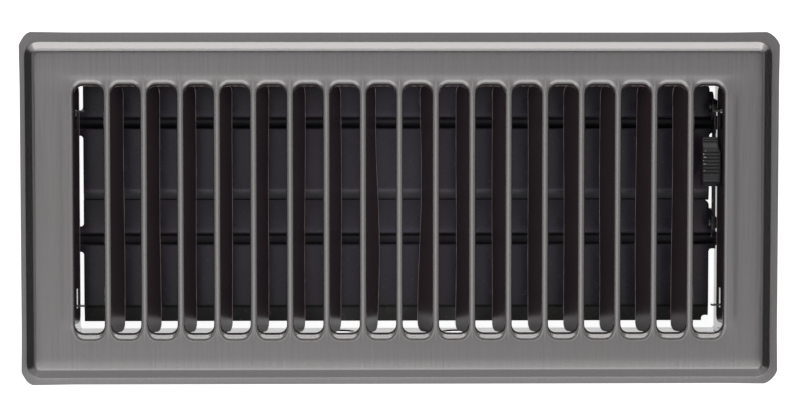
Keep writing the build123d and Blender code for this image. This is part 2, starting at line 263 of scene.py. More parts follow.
def make_piece(name: str, surface: Surface, body: Body, solid: bool = False) -> bpy.types.Object:
    """Mesh object, welded where its patches meet, riding on a body; a sheet's outer skin faces up.

    Args:
        name: Name of the piece.
        surface: The surface.
        body: The body that carries it.
        solid: Whether the surface is closed, so that its faces look outwards by themselves.

    Returns:
        The object, at the origin.
    """
    mesh = bpy.data.meshes.new(name)
    mesh.from_pydata((surface.points * MM).tolist(), [], surface.quads.tolist())
    layer = mesh.attributes.new(FINISH_AND_HIGHLIGHT_LAYER, "FLOAT", "POINT")
    layer.data.foreach_set("value", np.ascontiguousarray(surface.finish, dtype=np.float32))
    shell = bmesh.new()
    shell.from_mesh(mesh)
    bmesh.ops.remove_doubles(shell, verts=shell.verts, dist=WELD * MM)
    bmesh.ops.dissolve_degenerate(shell, edges=shell.edges, dist=WELD * MM)
    bmesh.ops.recalc_face_normals(shell, faces=shell.faces)
    if not solid and sum(face.normal.z * face.calc_area() for face in shell.faces) < 0.0:
        bmesh.ops.reverse_faces(shell, faces=shell.faces)
    shell.to_mesh(mesh)
    shell.free()
    mesh.shade_smooth()
    piece = bpy.data.objects.new(name, mesh)
    bpy.context.scene.collection.objects.link(piece)
    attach(piece, body.value)
    log.info("%s: %d faces on %s", name, len(mesh.polygons), body.value)
    return piece


def thicken(
    piece: bpy.types.Object, sheet: float, edge: float, inner_slot: int, edge_slot: int
) -> None:
    """Gives a surface its sheet thickness, inwards, and breaks its cut edges by a narrow two-step bevel.

    Args:
        piece: Object of the outer skin.
        sheet: Thickness in millimetres.
        edge: Width of the broken edge in millimetres.
        inner_slot: Material slot offset of the inner skin and the cut edge.
        edge_slot: Material slot of the broken edge.
    """
    wall = piece.modifiers.new("sheet", "SOLIDIFY")
    wall.thickness = sheet * MM
    wall.offset = -1.0
    wall.material_offset = inner_slot
    wall.material_offset_rim = inner_slot
    bevel = piece.modifiers.new("broken_edge", "BEVEL")
    bevel.width = edge * MM
    bevel.segments = 2
    bevel.limit_method = "ANGLE"
    bevel.angle_limit = np.radians(SHARP_ANGLE)
    bevel.harden_normals = True
    bevel.material = edge_slot


# Node helpers


class Nodes:
    """A node tree with short calls to add nodes and links."""

    def __init__(self, tree: bpy.types.NodeTree) -> None:
        """Takes the tree that the nodes go into."""
        self.tree = tree

    def add(
        self, kind: str, inputs: dict[str | int, Any] | None = None, **settings: Any
    ) -> bpy.types.Node:
        """Adds a node, sets its properties, and fills or links its inputs.

        Args:
            kind: Blender's node type.
            inputs: Value or output socket for each input, by name or number.
            settings: Node properties.

        Returns:
            The node.
        """
        node = self.tree.nodes.new(kind)
        for key, value in settings.items():
            setattr(node, key, value)
        for key, value in (inputs or {}).items():
            if isinstance(value, Socket):
                self.tree.links.new(value, node.inputs[key])
            else:
                node.inputs[key].default_value = value
        return node

    def math(self, operation: str, first: Any, second: Any, clamp: bool = False) -> Socket:
        """Output of a Math node on two values or sockets."""
        node = self.add("ShaderNodeMath", {0: first, 1: second}, operation=operation, use_clamp=clamp)
        return node.outputs[0]

    def spread(self, value: Any, low: float, high: float, to_low: float, to_high: float) -> Socket:
        """Output of a clamped Map Range node."""
        limits = {"From Min": low, "From Max": high, "To Min": to_low, "To Max": to_high}
        return self.add("ShaderNodeMapRange", {"Value": value} | limits).outputs["Result"]

    def mix(self, share: Any, first: Any, second: Any, blend: str = "MIX") -> Socket:
        """Colour output of a Mix node on two colours or sockets."""
        inputs = {0: share, 6: first, 7: second}
        return self.add("ShaderNodeMix", inputs, data_type="RGBA", blend_type=blend).outputs[2]

    def spot(self) -> Socket:
        """Object coordinates."""
        return self.add("ShaderNodeTexCoord").outputs["Object"]

    def layer(self) -> Socket:
        """Value of the finish layer."""
        kind = "ShaderNodeAttribute"
        return self.add(kind, attribute_name=FINISH_AND_HIGHLIGHT_LAYER, attribute_type="GEOMETRY").outputs["Fac"]

    def noise(self, scale: Triple, detail: float) -> Socket:
        """Noise value on Object coordinates.

        Args:
            scale: Fineness of its grain on each axis, per metre.
            detail: Number of finer layers in it.

        Returns:
            The value, about 0.5.
        """
        place = self.add("ShaderNodeMapping", {"Vector": self.spot(), "Scale": scale}).outputs["Vector"]
        inputs = {"Vector": place, "Scale": 1.0, "Detail": detail, "Roughness": 0.55}
        return self.add("ShaderNodeTexNoise", inputs).outputs["Fac"]


def colour(red: float, green: float, blue: float) -> Colour:
    """Opaque colour from linear red, green and blue."""
    return (red, green, blue, 1.0)


def new_material(name: str) -> tuple[bpy.types.Material, Nodes]:
    """Material with an empty node tree.

    Args:
        name: Name of the material.

    Returns:
        The material and its nodes.
    """
    made = bpy.data.materials.new(name)
    made.use_nodes = True
    made.node_tree.nodes.clear()
    return made, Nodes(made.node_tree)


def new_group(name: str, inputs: Sequence[str], outputs: Sequence[str]) -> bpy.types.NodeTree:
    """Shader group with number sockets.

    Args:
        name: Name of the group.
        inputs: Names of its inputs.
        outputs: Names of its outputs.

    Returns:
        The group, without nodes.
    """
    group = bpy.data.node_groups.new(name, "ShaderNodeTree")
    for names, way in ((inputs, "INPUT"), (outputs, "OUTPUT")):
        for socket in names:
            group.interface.new_socket(socket, in_out=way, socket_type="NodeSocketFloat")
    return group


def dust_group() -> bpy.types.NodeTree:
    """Shader group of settled dust: specks and a faint film, strongest on faces that look up.

    Returns:
        The group, with inputs Amount and Grain and output Mask.
    """
    speck_size, film_from, up_from = (0.06, 0.16), (0.45, 0.75), (0.0, 0.9)
    film_grain, film_detail, film_most, least_level = 0.12, 4.0, 0.35, 0.25
    group = new_group("settled_dust", ["Amount", "Grain"], ["Mask"])
    nodes = Nodes(group)
    given = nodes.add("NodeGroupInput")
    spot = nodes.spot()
    cells = nodes.add("ShaderNodeTexVoronoi", {"Vector": spot, "Scale": given.outputs["Grain"]}, feature="F1")
    speck = nodes.spread(cells.outputs["Distance"], *speck_size, 1.0, 0.0)
    film_scale = nodes.math("MULTIPLY", given.outputs["Grain"], film_grain)
    film = nodes.add("ShaderNodeTexNoise", {"Vector": spot, "Scale": film_scale, "Detail": film_detail})
    veil = nodes.spread(film.outputs["Fac"], *film_from, 0.0, film_most)
    normal = nodes.add("ShaderNodeNewGeometry").outputs["Normal"]
    up = nodes.add("ShaderNodeSeparateXYZ", {0: normal}).outputs["Z"]
    level = nodes.spread(up, *up_from, least_level, 1.0)
    settled = nodes.math("MULTIPLY", nodes.math("MAXIMUM", speck, veil), level)
    mask = nodes.math("MULTIPLY", settled, given.outputs["Amount"], clamp=True)
    nodes.add("NodeGroupOutput", {"Mask": mask})
    return group


def grain_group() -> bpy.types.NodeTree:
    """Shader group of uneven paint or moulding: a soft mottle and a fine orange peel.

    Returns:
        The group, with input Grain and outputs Mottle and Peel, both about 0.5.
    """
    group = new_group("uneven_coat", ["Grain"], ["Mottle", "Peel"])
    nodes = Nodes(group)
    mottle_grain, mottle_detail, peel_detail = 0.08, 5.0, 2.0
    grain = nodes.add("NodeGroupInput").outputs["Grain"]
    spot = nodes.spot()
    broad = nodes.math("MULTIPLY", grain, mottle_grain)
    mottle = nodes.add("ShaderNodeTexNoise", {"Vector": spot, "Scale": broad, "Detail": mottle_detail})
    peel = nodes.add("ShaderNodeTexNoise", {"Vector": spot, "Scale": grain, "Detail": peel_detail})
    nodes.add("NodeGroupOutput", {"Mottle": mottle.outputs["Fac"], "Peel": peel.outputs["Fac"]})
    return group


@dataclass
class Effects:
    """The node groups that several finishes share."""

    dust: bpy.types.NodeTree = field(default_factory=dust_group)
    grain: bpy.types.NodeTree = field(default_factory=grain_group)

    def add_dust(self, nodes: Nodes, amount: float, grain: float) -> Socket:
        """Mask of the dust group, placed with its own amount and grain."""
        inputs = {"Amount": amount, "Grain": grain}
        return nodes.add("ShaderNodeGroup", inputs, node_tree=self.dust).outputs["Mask"]

    def add_grain(self, nodes: Nodes, grain: float) -> bpy.types.Node:
        """Places the uneven coat group with its own grain."""
        return nodes.add("ShaderNodeGroup", {"Grain": grain}, node_tree=self.grain)


# Finishes


@dataclass(frozen=True)
class PaintedBladeLight:
    """Painted light across a pressed blade: painted shade in its trough, painted highlights on its lips and
    bend.

    A stop is a distance from the trough's middle along Y, in millimetres, and how many times as light
    the paint is painted there, as painted shade or painted highlight.

    Attributes:
        pivot: Place of the trough's middle along Y, in millimetres.
        strip: Stops of the painted light on the lap strip beyond the bend, standing in for its reflection.
        tint: Colour that the strip's painted light is multiplied by.
        stops: Stops of the painted light from the bend to its upper edge.
    """

    pivot: float
    strip: tuple[Pair, ...]
    tint: Triple = (1.0, 1.0, 1.0)
    # Painted shade in the trough, painted highlights on its lips, and darker towards the upper edge.
    stops: tuple[Pair, ...] = (
        (-24.5, 1.0), (-4.0, 1.0), (-3.0, 1.15), (-2.3, 0.4), (2.4, 0.4),
        (2.9, 2.2), (3.8, 1.5), (5.4, 1.0), (15.5, 0.7),
    )

    def share(self, nodes: Nodes) -> Socket:
        """Factor of painted shade and painted highlight on the paint's colour, from Object coordinates.

        Args:
            nodes: The material's nodes.

        Returns:
            Colour socket of the factor.
        """
        stops = self.strip + self.stops
        first, last = stops[0][0], stops[-1][0]
        lightest = max(painted_light for _, painted_light in stops)
        along = nodes.add("ShaderNodeSeparateXYZ", {0: nodes.spot()}).outputs["Y"]
        way = nodes.spread(along, (self.pivot + first) * MM, (self.pivot + last) * MM, 0.0, 1.0)
        ramp = nodes.add("ShaderNodeValToRGB", {"Fac": way})
        points = ramp.color_ramp.elements
        while len(points) < len(stops):
            points.new(1.0)
        tints = [self.tint] * len(self.strip) + [(1.0, 1.0, 1.0)] * len(self.stops)
        for point, (distance, painted_light), tint in zip(points, stops, tints):
            point.position = (distance - first) / (last - first)
            point.color = colour(*(painted_light / lightest * part for part in tint))
        full = colour(lightest, lightest, lightest)
        return nodes.mix(1.0, ramp.outputs["Color"], full, "MULTIPLY")


@dataclass(frozen=True)
class PaintFinish:
    """Sheet steel under a dark paint, bare steel, or dark moulded plastic.

    Attributes:
        name: Name of the material.
        base: Colour.
        worn: Colour of its lighter mottle.
        roughness: Lowest and highest roughness.
        peel: Bump strength of the orange peel.
        grain: Grain of the orange peel, per metre.
        dust: Amount of settled dust.
        coat: Weight of the clear gloss over the paint.
        metallic: Share of bare metal.
        chip: Colour of the chips that the finish layer marks, or None where it marks none.
        painted_light: Painted shade and painted highlights across a pressed blade, or None on other pieces.
        dull: Roughness added where that painted shade is at its darkest.
        dust_colour: Colour of the dust.
        dust_grain: Grain of the dust, as a share of that of the peel.
        peel_height: Height of the orange peel in metres.
        coat_roughness: Roughness of the clear gloss.
    """

    name: str
    base: Colour
    worn: Colour
    roughness: Pair
    peel: float
    grain: float
    dust: float = 0.0
    coat: float = 0.0
    metallic: float = 0.0
    chip: Colour | None = None
    # Painted shade and painted highlights across a pressed blade, multiplied into its colour.
    painted_light: PaintedBladeLight | None = None
    dull: float = 0.25
    dust_colour: Colour = colour(0.21, 0.19, 0.18)
    dust_grain: float = 0.25
    peel_height: float = 0.0002
    coat_roughness: float = 0.05

    def material(self, effects: Effects) -> bpy.types.Material:
        """Builds the material.

        Args:
            effects: The shared node groups.

        Returns:
            The material.
        """
        made, nodes = new_material(self.name)
        coat = effects.add_grain(nodes, self.grain)
        dust = effects.add_dust(nodes, self.dust, self.grain * self.dust_grain)
        mottle = coat.outputs["Mottle"]
        tinted = nodes.mix(nodes.spread(mottle, *MIDDLE, 0.0, 1.0), self.base, self.worn)
        tinted = nodes.mix(dust, tinted, self.dust_colour)
        if self.chip is not None:
            tinted = nodes.mix(nodes.spread(nodes.layer(), *MIDDLE, 0.0, 1.0), tinted, self.chip)
        rough = nodes.spread(mottle, *MIDDLE, *self.roughness)
        # Painted shade and painted highlights across a pressed blade, multiplied into the colour.
        if self.painted_light is not None:
            share = self.painted_light.share(nodes)
            darkest = min(painted_light for _, painted_light in self.painted_light.stops)
            tinted = nodes.mix(1.0, tinted, share, "MULTIPLY")
            rough = nodes.math("ADD", rough, nodes.spread(share, darkest, 1.0, self.dull, 0.0))
        relief = {"Strength": self.peel, "Distance": self.peel_height, "Height": coat.outputs["Peel"]}
        bump = nodes.add("ShaderNodeBump", relief).outputs["Normal"]
        inputs = {"Base Color": tinted, "Roughness": rough, "Normal": bump}
        shader = nodes.add("ShaderNodeBsdfPrincipled", inputs)
        shader.inputs["Metallic"].default_value = self.metallic
        shader.inputs["Coat Weight"].default_value = self.coat
        shader.inputs["Coat Roughness"].default_value = self.coat_roughness
        nodes.add("ShaderNodeOutputMaterial", {"Surface": shader.outputs["BSDF"]})
        return made


@dataclass(frozen=True)
class BrushedFinish:
    """Brushed warm-grey plating, its lines along Y, turning to dark paint where the finish layer is 0 and to
    a painted highlight near 1.

    Attributes:
        name: Name of the material.
        metal: Colour of the plating.
        deep: Colour in the brush lines.
        painted_highlight: Lighter colour painted as a highlight on the bars, slot ends and the step's far
            slope.
        paint: Colour of the fins.
        roughness: Lowest and highest roughness of the plating.
        line: Width of the brush lines, across and along, in millimetres.
        cloud: Colour of the faint clouds in the plating.
        dust: Colour of the dust on the paint.
        plated_from: Finish values over which paint turns to plating.
        painted_highlight_from: Finish values over which plating turns to the painted highlight.
        metallic: Share of metal in the plating.
        fine_share: Share of the fine brush lines, the rest being broad ones.
        fine_detail: Finer layers in the fine lines.
        broad_scale: Grain of the broad lines across and along, as shares of that of the fine ones.
        broad_detail: Finer layers in the broad lines and the clouds.
        line_limits: Values of the lines that are deepest and highest.
        cloud_grain: Grain of the clouds, per metre.
        cloud_limits: Noise values over which a cloud comes up.
        cloud_most: Strongest share of the clouds' colour.
        dust_amount: Amount of dust on the paint.
        dust_grain: Grain of the dust, per metre.
        paint_gloss: Roughness of the paint as a share of that of the plating.
        relief: Bump strength of the lines.
        relief_height: Height of the lines in metres.
    """

    name: str
    metal: Colour
    deep: Colour
    painted_highlight: Colour
    paint: Colour
    roughness: Pair
    line: Pair
    cloud: Colour = colour(0.30, 0.275, 0.25)
    dust: Colour = colour(0.16, 0.14, 0.13)
    plated_from: Pair = (0.15, 0.75)
    painted_highlight_from: Pair = (0.82, 0.98)
    metallic: float = 0.92
    fine_share: float = 0.6
    fine_detail: float = 2.0
    broad_scale: Pair = (0.12, 0.5)
    broad_detail: float = 3.0
    line_limits: Pair = (0.32, 0.68)
    cloud_grain: float = 18.0
    cloud_limits: Pair = (0.35, 0.7)
    cloud_most: float = 0.12
    dust_amount: float = 0.25
    dust_grain: float = 380.0
    paint_gloss: float = 0.75
    relief: float = 0.06
    relief_height: float = 0.0001

    def material(self, effects: Effects) -> bpy.types.Material:
        """Builds the material.

        Args:
            effects: The shared node groups.

        Returns:
            The material.
        """
        made, nodes = new_material(self.name)
        across, along = 1.0 / (self.line[0] * MM), 1.0 / (self.line[1] * MM)
        fine = nodes.noise((across, along, along), self.fine_detail)
        broad_grain = (across * self.broad_scale[0], along * self.broad_scale[1], along)
        broad = nodes.noise(broad_grain, self.broad_detail)
        clouds = nodes.noise((self.cloud_grain,) * 3, self.broad_detail)
        fine_part = nodes.math("MULTIPLY", fine, self.fine_share)
        broad_part = nodes.math("MULTIPLY", broad, 1.0 - self.fine_share)
        share = nodes.spread(nodes.math("ADD", fine_part, broad_part), *self.line_limits, 0.0, 1.0)
        plated = nodes.mix(share, self.deep, self.metal)
        clouded = nodes.spread(clouds, *self.cloud_limits, 0.0, self.cloud_most)
        plated = nodes.mix(clouded, plated, self.cloud)
        finish = nodes.layer()
        keep = nodes.spread(finish, *self.plated_from, 0.0, 1.0)
        # Painted highlight: the plating turns lighter where the finish layer is above plain plating.
        plated = nodes.mix(nodes.spread(finish, *self.painted_highlight_from, 0.0, 1.0), plated, self.painted_highlight)
        dusty = effects.add_dust(nodes, self.dust_amount, self.dust_grain)
        painted = nodes.mix(dusty, self.paint, self.dust)
        plated_rough = nodes.spread(share, 0.0, 1.0, self.roughness[1], self.roughness[0])
        rough = nodes.math("MULTIPLY", nodes.spread(keep, 0.0, 1.0, self.paint_gloss, 1.0), plated_rough)
        lines = nodes.math("MULTIPLY", fine, keep)
        relief = {"Strength": self.relief, "Distance": self.relief_height, "Height": lines}
        inputs = {
            "Base Color": nodes.mix(keep, painted, plated),
            "Roughness": rough,
            "Metallic": nodes.math("MULTIPLY", keep, self.metallic),
            "Normal": nodes.add("ShaderNodeBump", relief).outputs["Normal"],
        }
        shader = nodes.add("ShaderNodeBsdfPrincipled", inputs)
        nodes.add("ShaderNodeOutputMaterial", {"Surface": shader.outputs["BSDF"]})
        return made


@dataclass(frozen=True)
class FloorFinish:
    """White floor: lit matt white, with a white of its own where it is seen or mirrored.

    Attributes:
        glow: Strength of the white of its own.
        albedo: Grey level of the matt white.
    """

    glow: float = 0.93
    albedo: float = 0.85

    def material(self) -> bpy.types.Material:
        """Builds the material: matt white plus a glow for camera, glossy and transmission rays.

        Returns:
            The material.
        """
        made, nodes = new_material("white_floor")
        path = nodes.add("ShaderNodeLightPath")
        seen = nodes.math("MAXIMUM", path.outputs["Is Camera Ray"], path.outputs["Is Glossy Ray"])
        seen = nodes.math("MAXIMUM", seen, path.outputs["Is Transmission Ray"])
        glow = nodes.add("ShaderNodeEmission", {"Strength": nodes.math("MULTIPLY", seen, self.glow)})
        matt = nodes.add("ShaderNodeBsdfDiffuse", {"Color": colour(self.albedo, self.albedo, self.albedo)})
        both = nodes.add("ShaderNodeAddShader", {0: glow.outputs[0], 1: matt.outputs[0]})
        nodes.add("ShaderNodeOutputMaterial", {"Surface": both.outputs[0]})
        return made


# Face plate


@dataclass(frozen=True)
class Roll:
    """Rolled edge whose section starts with a wide radius and ends with a tight one.

    Attributes:
        wide: Radius of the first part, next to the field.
        turn: Tilt, in degrees, at which the second part takes over.
        tight: Radius of the second part.
    """

    wide: float
    turn: float
    tight: float

    def run(self, tilt: Array) -> Array:
        """Way along the field from the start of the roll: the sum of radius·(change of sin tilt)."""
        first = np.sin(np.minimum(tilt, np.radians(self.turn)))
        return self.wide * first + self.tight * (np.sin(tilt) - first)

    def fall(self, tilt: Array) -> Array:
        """Fall below the field: the sum of radius·(change of cos tilt)."""
        first = np.cos(np.minimum(tilt, np.radians(self.turn)))
        return self.wide * (1.0 - first) + self.tight * (first - np.cos(tilt))

    def reach(self) -> float:
        """Way from the start of the roll to its upright end."""
        return float(self.run(np.array(np.pi / 2)))


@dataclass
class FacePlate:
    """Stamped face: lip, step, field, 18 rolled slots, 16 leaning fins and 2 end flanges, in one sheet.

    The outer skin is worked out as patches that share their edges, and is then given its thickness.
    Lengths are in millimetres and angles in degrees, but the leg's further tilt is in radians. A pair
    of limits is where a smooth step is 0 and where it is 1.
    """

    # Outline, lip and step
    half_length: float = 145.6
    half_width: float = 67.6
    corner_radius: float = 5.0
    corner_cut: float = 0.45
    sheet: float = 0.8
    broken_edge: float = 0.2
    top: float = 3.0
    lip: float = 2.9
    lip_droop: float = 0.1
    lip_stops: tuple[float, ...] = (1.0, 0.3, 0.0)
    left_trim: float = 0.75
    trim_limits: Pair = (0.2, 1.0)
    step_run: float = 3.0
    foot_corner_radius: float = 5.6
    field_corner_radius: float = 2.3
    crest_radius: float = 3.0
    foot_radius: float = 0.8
    side_draw: float = 0.2
    draw_limits: Pair = (4.0, 22.0)
    ring_shift: Pair = (-0.1, -0.55)
    ring_squeeze: float = 0.3
    # Height of the field
    brink_drop: float = 0.24
    brink_low: float = 0.38
    brink_high: float = 0.2
    brink_width: float = 5.5
    hump: float = 0.19
    hump_x: float = 127.2
    hump_width: float = 2.0
    hump_limits: Pair = (45.6, 43.2)
    bar_sag: float = 0.25
    sag_margins: Pair = (1.5, 4.0)
    sag_end_margins: Pair = (1.0, 6.0)
    dip_turn: float = 9.0
    dip_run: float = 4.0
    dip_back: float = 1.8
    dip_limits: Pair = (-30.0, 30.0)
    # Slots and their rolled edges
    row_y: float = -0.3
    slot_count: int = 18
    pitch: float = 13.93
    half_slot: float = 5.65
    half_slot_length: float = 47.3
    slot_corner: float = 3.3
    cell_margin: float = 0.9
    bar_roll: Roll = Roll(2.2, 27.0, 0.55)
    outer_roll: Roll = Roll(4.5, 14.0, 1.0)
    end_roll: Roll = Roll(5.4, 22.0, 2.6)
    end_power: float = 2.4
    leg: float = 0.5
    leg_cut: float = 0.9
    # Fins and end flanges
    fin_lean: float = 24.0
    lean_split: float = 1.2
    fin_length: float = 10.8
    fin_half_span: float = 47.3
    fin_corner: float = 3.0
    flange_lean: float = 8.0
    flange_length: float = 8.5
    flange_half_span: float = 43.7
    flange_upper_span: float = 47.2
    window_near: float = 30.4
    window_far: float = 38.1
    window_start: float = 3.0
    window_stop: float = 7.6
    root_stops: tuple[float, ...] = (0.0, 0.4, 0.9, 1.4, 2.2)
    flat_margins: Pair = (3.2, 3.4)
    shift_limits: Pair = (0.3, 1.7)
    shift_from: float = 0.86
    free_from: float = 2.0
    bow: float = 0.22
    middle_bow: float = 0.75
    bow_power: float = 1.6
    bow_waves: tuple[Triple, ...] = ((14.0, 1.7, 0.6), (31.0, 0.9, 0.7))
    # Finish, painted highlights, painted shade and burrs
    # The shines are painted highlights: a lighter colour where light falls on the bars, slot ends and step.
    bar_shine: float = 0.585
    shine_power: int = 4
    shine_fade: float = 4.0
    high_end_shine: float = 0.31
    low_end_shine: float = 0.6
    shine_turn: float = 9.0
    paint_turns: Pair = (89.0, 72.0)
    # On the slots' high ends the roll turns to dark paint at a smaller tilt: painted shade on their steep
    # part.
    high_shade_turns: Pair = (54.0, 32.0)
    high_limits: Pair = (0.3, 0.9)
    leg_tilt: float = 0.2
    step_shine: float = 1.0
    step_shine_limits: Pair = (0.3, 0.95)
    crest_limits: Pair = (-0.5, 0.6)
    foot_margin: float = 0.3
    burr: float = 0.11
    slot_burr_wave: Triple = (0.45, 2.1, 1.9)
    slot_burr_from: float = 0.15
    slot_burr_across: Triple = (0.0, 0.3, 1.0)
    fin_burr_wave: Triple = (0.2, 0.9, 2.3)
    # Fineness of the patches
    side_steps: int = 26
    end_steps: int = 4
    corner_steps: int = 7
    roll_steps: int = 10
    roll_power: float = 1.5
    arc_steps: int = 7
    fin_corner_steps: int = 5
    fin_rows: int = 4
    cell_rows: tuple[float, ...] = (0.0, 0.45, 0.75, 1.0)
    field_rows: int = 7
    field_power: float = 0.6
    dip_rows: int = 3
    dip_share: float = 0.22
    burrs: list[Surface] = field(default_factory=list)

    def side_shares(self) -> Array:
        """Places along a slot's long side, closer near its ends, with a place at each window edge.

        Returns:
            -cos of equal steps of angle, the nearest places moved to the windows.
        """
        shares = -np.cos(np.linspace(0.0, np.pi, self.side_steps + 1))
        straight = self.half_slot_length - self.slot_corner
        for place in (self.window_near / straight, self.window_far / straight):
            shares[np.abs(shares - place).argmin()] = place
            shares[np.abs(shares + place).argmin()] = -place
        return shares

    def end_shares(self) -> Array:
        """Places along a slot's short side, in equal steps."""
        return np.linspace(-1.0, 1.0, self.end_steps + 1)

    def is_last(self, index: int) -> bool:
        """Whether a slot is the outermost of its half."""
        return index in (0, self.slot_count - 1)

    def cell_half_width(self) -> float:
        """Half the width, in Y, of the patch of field around a slot."""
        return self.half_slot_length + self.end_roll.reach() + self.cell_margin

    def cell_end(self) -> float:
        """Outer edge, in X, of the patch of field around the last slot."""
        last = (self.slot_count - 1) / 2 * self.pitch + self.half_slot
        return last + self.outer_roll.reach() + self.cell_margin

    def field_half(self) -> Array:
        """Half the length and width of the field inside the step."""
        return np.array([self.half_length, self.half_width]) - (self.lip + self.step_run)

    def height(self, x: Array, y: Array) -> Array:
        """Height of the field: flat, sinking a little over the bars, with a low hump along each end flange.

        The hump is a bell curve of X; the falls towards the step and the slots' upper ends are taken off.

        Args:
            x: Places along the face.
            y: Places across the face.

        Returns:
            Height of the outer skin.
        """
        row = np.abs(y - self.row_y)
        outside, inside = self.sag_margins
        sag = smooth(row, self.cell_half_width() + outside, self.half_slot_length - inside)
        outside, inside = self.sag_end_margins
        sag *= smooth(np.abs(x), self.cell_end() + outside, self.cell_end() - inside)
        hump = np.exp(-(((np.abs(x) - self.hump_x) / self.hump_width) ** 2))
        hump *= smooth(row, *self.hump_limits)
        return self.top - self.bar_sag * sag + self.hump * hump - self.brink(x, y) - self.dip(y)

    def dip(self, y: Array) -> Array:
        """Fall of the field towards the slots' upper ends, where their rolls take it over.

        The tilt grows evenly from 0 to the dip's turn at the edge of the roll and then goes back to 0 along
        the bars, so the fall is a parabola followed by its mirror image; it fades out over the row's middle.

        Args:
            y: Places across the face.

        Returns:
            Fall below the flat.
        """
        turn = np.radians(self.dip_turn)
        edge = self.half_slot_length + self.end_roll.reach() - self.end_roll.run(turn)
        way = edge + self.dip_run - (y - self.row_y)
        there = np.clip(way, 0.0, self.dip_run)
        back = np.clip(way - self.dip_run, 0.0, self.dip_back)
        fall = there**2 / (2.0 * self.dip_run) + back - back**2 / (2.0 * self.dip_back)
        return np.tan(turn) * fall * smooth(y, *self.dip_limits)

    def brink(self, x: Array, y: Array) -> Array:
        """Fall of the field towards the step: the square of the way from the flat to the field's edge.

        The ends, the low side and the high side each have their own drop, and it lies where the step settles.

        Args:
            x: Places along the face.
            y: Places across the face.

        Returns:
            Fall below the flat.
        """
        field_x, field_y = self.field_half()
        x = x - self.ring_shift[0]
        y = (y - self.ring_shift[1]) / (1.0 - self.ring_squeeze / field_y)
        fall_x = np.maximum(1.0 - (field_x - np.abs(x)) / self.brink_width, 0.0)
        fall_y = np.maximum(1.0 - (field_y - np.abs(y)) / self.brink_width, 0.0)
        drop_y = np.where(y < 0.0, self.brink_low, self.brink_high)
        return self.brink_drop * fall_x**2 + drop_y * fall_y**2

    def settle(self, ring: Array, share: float) -> Array:
        """Moves an outline of the step to where the stamping sits on the blank.

        Args:
            ring: Points of the outline, n by 2.
            share: Share of the move, 1 on the step and 0 at the edge of the lip.

        Returns:
            The moved points: drawn in along Y by a fixed share of Y, then shifted.
        """
        scale = np.array([1.0, 1.0 - share * self.ring_squeeze / self.field_half()[1]])
        return ring * scale + share * np.array(self.ring_shift)

    def raised(self, flat: Array) -> Array:
        """Points of the field over places in its plan."""
        return np.concatenate([flat, self.height(flat[..., 0], flat[..., 1])[..., None]], axis=-1)

    def roll_shares(self, normals: Array, side: Side, last: bool) -> dict[Roll, Array]:
        """Shares of the three rolls round a slot's outline, which add up to 1.

        Args:
            normals: Outward normals of the slot's outline.
            side: The half of the face that the slot is in.
            last: Whether it is the outermost slot of its half.

        Returns:
            Share of the roll of the ends, the outer side and the bars at each point.
        """
        along = np.abs(normals[:, 1]) ** self.end_power
        outward = smooth(normals[:, 0] * side.value, 0.0, 1.0) * (1.0 - along) * float(last)
        return {self.end_roll: along, self.outer_roll: outward, self.bar_roll: 1.0 - along - outward}

    def hinge_share(self, normals: Array, points: Array, side: Side) -> Array:
        """1 on the straight outer side of a slot, where its fin is bent down, and 0 elsewhere."""
        straight = np.abs(points[:, 1]) <= self.half_slot_length - self.slot_corner + 1e-6
        return ((normals[:, 0] * side.value > 0.999) & straight).astype(float)

    def burr_radius(self, place: Array, index: int, wave: Triple) -> Array:
        """Radius of a burr, uneven along its edge.

        Args:
            place: Places along the edge.
            index: Number of the slot.
            wave: Its unevenness u, and the wave's radians per millimetre and per slot.

        Returns:
            The full radius times 1 - u + u·sin of the wave.
        """
        uneven, per_mm, per_slot = wave
        return self.burr * (1.0 - uneven + uneven * np.sin(place * per_mm + index * per_slot))

    def slot_patches(self, index: int) -> list[Surface]:
        """Rolled edge, surrounding field and fin of one slot.

        The roll is a section of two radii carried round the slot's outline, from the tilt of the field to
        upright, or to the fin's lean where the fin starts; a short leg follows it.

        Args:
            index: Number of the slot, from 0 at the left end.

        Returns:
            The patches.
        """
        centre = (index - (self.slot_count - 1) / 2) * self.pitch
        middle = np.array([centre, self.row_y])
        side = Side.LEFT if centre < 0 else Side.RIGHT
        last = self.is_last(index)
        lean = np.radians(self.flange_lean if last else self.fin_lean + side.value * self.lean_split)
        half = (self.half_slot, self.half_slot_length)
        shares = (self.end_shares(), self.side_shares())
        outline, normals = rounded_loop(half, self.slot_corner, *shares, self.corner_steps)
        hinge = self.hinge_share(normals, outline, side)
        mixed = self.roll_shares(normals, side, last)
        start = np.radians(self.dip_turn) * np.clip(normals[:, 1], 0.0, 1.0) ** self.end_power
        steps = np.linspace(0.0, 1.0, self.roll_steps + 1)[:, None] ** self.roll_power
        turn = start + steps * (np.pi / 2 - hinge * lean - start)
        upright = sum(share * roll.reach() for roll, share in mixed.items())
        run = sum(share * roll.run(turn) for roll, share in mixed.items())
        start_run = sum(share * roll.run(start) for roll, share in mixed.items())
        drop = sum(share * (roll.fall(turn) - roll.fall(start)) for roll, share in mixed.items())
        rim = outline + (upright - start_run)[:, None] * normals
        plan = outline + (upright - run)[..., None] * normals
        level = self.raised(rim + middle)[:, 2] - drop
        leg = level[-1:] - self.leg * (1.0 - hinge) * (1.0 - self.leg_cut * normals[:, 1] ** 2)
        roll_points = np.concatenate(
            [np.concatenate([plan, plan[-1:]]) + middle, np.concatenate([level, leg])[..., None]], axis=-1
        )
